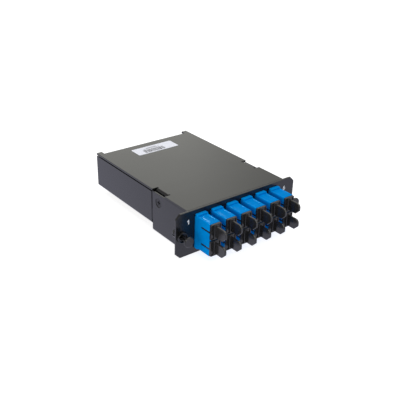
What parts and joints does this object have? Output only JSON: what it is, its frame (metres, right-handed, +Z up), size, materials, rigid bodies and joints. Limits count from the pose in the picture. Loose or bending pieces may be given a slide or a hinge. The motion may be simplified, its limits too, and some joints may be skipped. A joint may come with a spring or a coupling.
{
  "type": "fibre adapter panel",
  "caption": "Black sheet-metal fibre adapter panel: latched faceplate with upright blue duplex adapters under finned dust caps, and a closed two-step fan-out housing behind.",
  "frame": {"origin": "middle of the faceplate's back face, halfway between the two latch studs", "axes": "+X along the faceplate, +Y from the front to the rear of the housing, +Z up towards the lid"},
  "size_m": [0.11, 0.1624, 0.0341],
  "materials": {
    "powder_coat": "satin powder coat",
    "screw_black": "black oxide",
    "screw_steel": "plain",
    "label_white": "matt film",
    "adapter_blue": "glossy moulding",
    "cap_black": "soft matt",
    "latch_black": "satin nylon",
    "adapter_black": "satin moulding",
    "block_black": "satin moulding",
    "plug_blue": "satin moulding",
    "sleeve_white": "polished",
    "fibre_yellow": "soft jacket"
  },
  "bodies": {
    "panel": {"faceplate": "powder_coat", "front_housing": "powder_coat", "rear_tray": "powder_coat", "lid": "powder_coat", "sc_adapter_1": "adapter_blue", "sc_adapter_2": "adapter_blue", "sc_adapter_3": "adapter_blue", "sc_adapter_4": "adapter_blue", "sc_adapter_5": "adapter_blue", "sc_adapter_6": "adapter_blue", "adapter_insert_1": "adapter_blue", "adapter_insert_2": "adapter_blue", "adapter_insert_3": "adapter_blue", "adapter_insert_4": "adapter_blue", "adapter_insert_5": "adapter_blue", "adapter_insert_6": "adapter_blue", "inner_plug_01": "plug_blue", "inner_plug_02": "plug_blue", "inner_plug_03": "plug_blue", "inner_plug_04": "plug_blue", "inner_plug_05": "plug_blue", "inner_plug_06": "plug_blue", "inner_plug_07": "plug_blue", "inner_plug_08": "plug_blue", "inner_plug_09": "plug_blue", "inner_plug_10": "plug_blue", "inner_plug_11": "plug_blue", "inner_plug_12": "plug_blue", "side_screws": "screw_black", "multifibre_screws": "screw_steel", "label": "label_white", "alignment_sleeves": "sleeve_white", "fibre_loom": "fibre_yellow", "fan_out_block": "block_black", "ribbon": "fibre_yellow", "multifibre_plug": "block_black", "multifibre_adapter": "adapter_black", "grommet_left": "latch_black", "grommet_right": "latch_black"},
    "dust_cap_01": {"dust_cap_01": "cap_black"},
    "dust_cap_02": {"dust_cap_02": "cap_black"},
    "dust_cap_03": {"dust_cap_03": "cap_black"},
    "dust_cap_04": {"dust_cap_04": "cap_black"},
    "dust_cap_05": {"dust_cap_05": "cap_black"},
    "dust_cap_06": {"dust_cap_06": "cap_black"},
    "dust_cap_07": {"dust_cap_07": "cap_black"},
    "dust_cap_08": {"dust_cap_08": "cap_black"},
    "dust_cap_09": {"dust_cap_09": "cap_black"},
    "dust_cap_10": {"dust_cap_10": "cap_black"},
    "dust_cap_11": {"dust_cap_11": "cap_black"},
    "dust_cap_12": {"dust_cap_12": "cap_black"},
    "multifibre_cap": {"multifibre_cap": "cap_black"},
    "plunger_left": {"plunger_left": "latch_black"},
    "plunger_right": {"plunger_right": "latch_black"}
  },
  "joints": [
    {"name": "dust_cap_01_pull", "type": "slide", "parent": "panel", "child": "dust_cap_01", "axis": [0, -1, 0], "range_m": [0, 0.025]},
    {"name": "dust_cap_02_pull", "type": "slide", "parent": "panel", "child": "dust_cap_02", "axis": [0, -1, 0], "range_m": [0, 0.025]},
    {"name": "dust_cap_03_pull", "type": "slide", "parent": "panel", "child": "dust_cap_03", "axis": [0, -1, 0], "range_m": [0, 0.025]},
    {"name": "dust_cap_04_pull", "type": "slide", "parent": "panel", "child": "dust_cap_04", "axis": [0, -1, 0], "range_m": [0, 0.025]},
    {"name": "dust_cap_05_pull", "type": "slide", "parent": "panel", "child": "dust_cap_05", "axis": [0, -1, 0], "range_m": [0, 0.025]},
    {"name": "dust_cap_06_pull", "type": "slide", "parent": "panel", "child": "dust_cap_06", "axis": [0, -1, 0], "range_m": [0, 0.025]},
    {"name": "dust_cap_07_pull", "type": "slide", "parent": "panel", "child": "dust_cap_07", "axis": [0, -1, 0], "range_m": [0, 0.025]},
    {"name": "dust_cap_08_pull", "type": "slide", "parent": "panel", "child": "dust_cap_08", "axis": [0, -1, 0], "range_m": [0, 0.025]},
    {"name": "dust_cap_09_pull", "type": "slide", "parent": "panel", "child": "dust_cap_09", "axis": [0, -1, 0], "range_m": [0, 0.025]},
    {"name": "dust_cap_10_pull", "type": "slide", "parent": "panel", "child": "dust_cap_10", "axis": [0, -1, 0], "range_m": [0, 0.025]},
    {"name": "dust_cap_11_pull", "type": "slide", "parent": "panel", "child": "dust_cap_11", "axis": [0, -1, 0], "range_m": [0, 0.025]},
    {"name": "dust_cap_12_pull", "type": "slide", "parent": "panel", "child": "dust_cap_12", "axis": [0, -1, 0], "range_m": [0, 0.025]},
    {"name": "multifibre_cap_pull", "type": "slide", "parent": "panel", "child": "multifibre_cap", "axis": [0, 1, 0], "range_m": [0, 0.02]},
    {"name": "plunger_left_push", "type": "slide", "parent": "panel", "child": "plunger_left", "axis": [0, 1, 0], "range_m": [0, 0.0055]},
    {"name": "plunger_right_push", "type": "slide", "parent": "panel", "child": "plunger_right", "axis": [0, 1, 0], "range_m": [0, 0.0055]}
  ]
}
